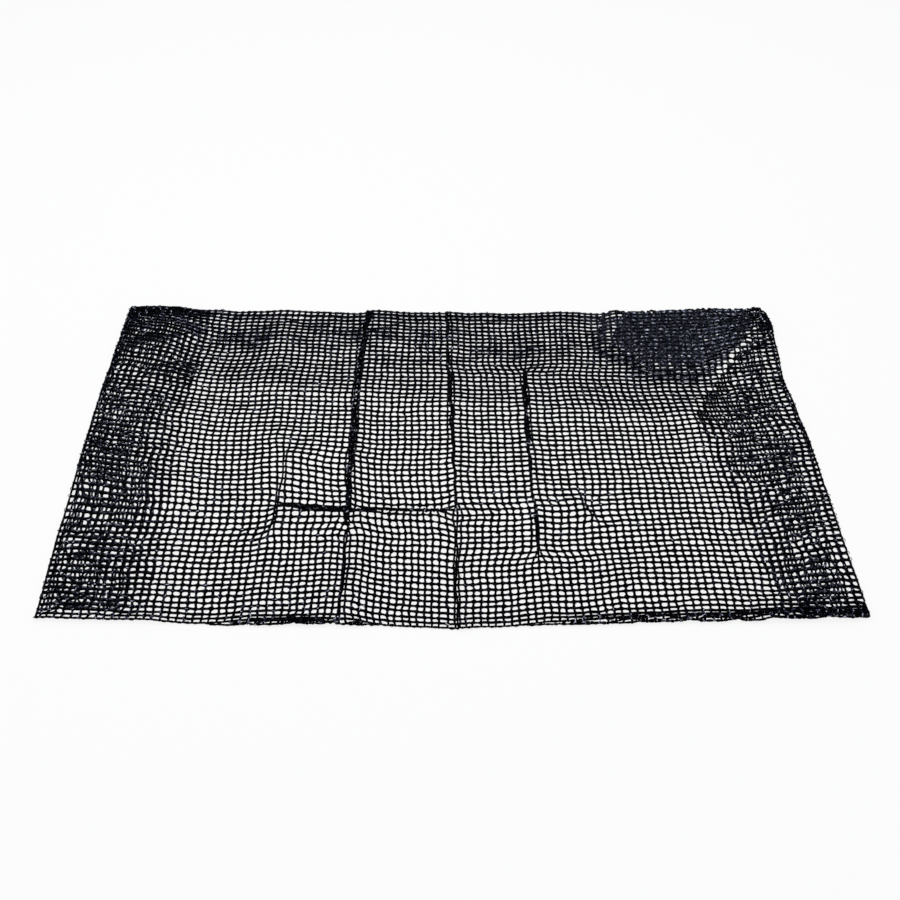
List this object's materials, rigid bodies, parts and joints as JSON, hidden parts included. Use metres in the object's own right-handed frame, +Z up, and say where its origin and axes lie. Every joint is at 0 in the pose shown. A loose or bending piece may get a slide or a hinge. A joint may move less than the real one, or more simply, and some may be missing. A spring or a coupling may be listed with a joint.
{
  "type": "bird netting",
  "caption": "Black knitted small-mesh bird net, laid out flat with its side and back margins turned under and old packing creases standing up.",
  "frame": {"origin": "on the floor, under the middle of the laid-out net's bounding box", "axes": "+X along the net's width, +Y towards its back edge, +Z up"},
  "size_m": [1.0416, 0.6544, 0.0147],
  "materials": {
    "net": "black knitted polyethylene yarn with a slight cold sheen"
  },
  "bodies": {
    "root": {"net": "net"}
  },
  "joints": []
}
